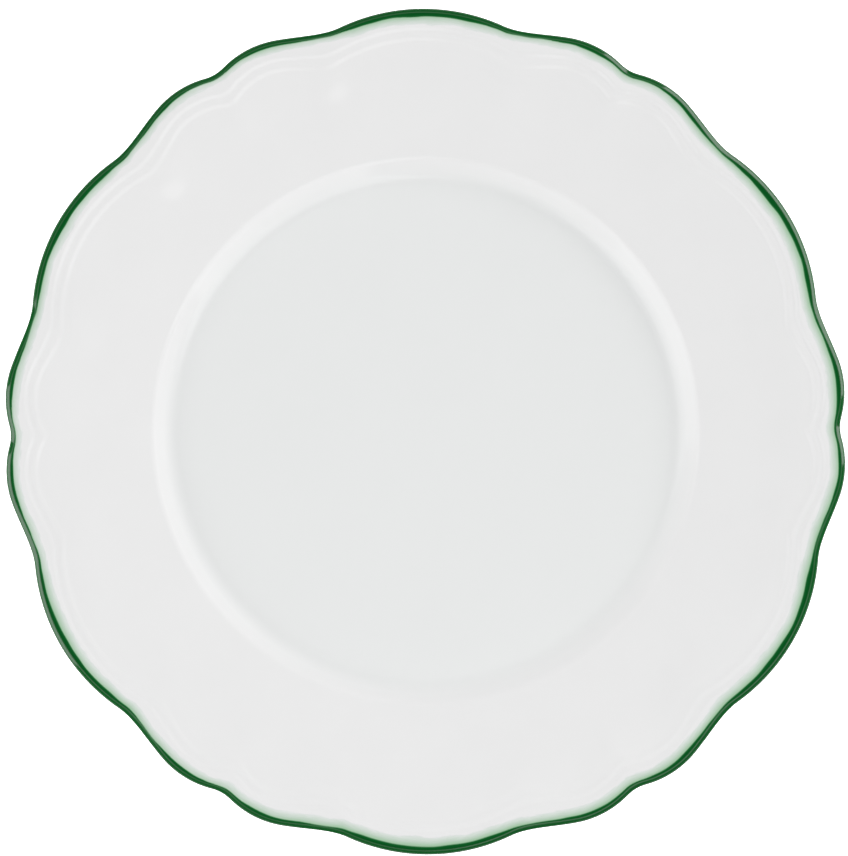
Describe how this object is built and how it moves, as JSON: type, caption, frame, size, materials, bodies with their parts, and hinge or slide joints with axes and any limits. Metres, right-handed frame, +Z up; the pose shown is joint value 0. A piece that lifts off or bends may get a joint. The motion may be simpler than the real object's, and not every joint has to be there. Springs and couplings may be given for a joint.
{
  "type": "dinner plate",
  "caption": "Scalloped porcelain dinner plate with a recessed well, a wide rim with an embossed double line, and a green enamel line round its lobed edge.",
  "frame": {"origin": "centre of the foot ring's bearing face, on the plane that the plate stands on", "axes": "+Z up through the plate's axis, out of the face; +X towards a notch between two small lobes of the edge, +Y towards the crest of a big lobe"},
  "size_m": [0.2676, 0.27, 0.0193],
  "materials": {
    "biscuit_porcelain": "unglazed fired clay, wiped clean at the foot",
    "glazed_porcelain": "clear gloss glaze over white porcelain",
    "green_enamel": "dark green gloss enamel, painted by hand round the lip",
    "pale_green_enamel": "thin translucent green wash that fades inwards from the line"
  },
  "bodies": {
    "root": {"porcelain_body": "biscuit_porcelain", "face_glaze": "glazed_porcelain", "rim_back_glaze": "glazed_porcelain", "foot_recess_glaze": "glazed_porcelain", "green_edge_line": "green_enamel", "pale_green_wash": "pale_green_enamel"}
  },
  "joints": []
}
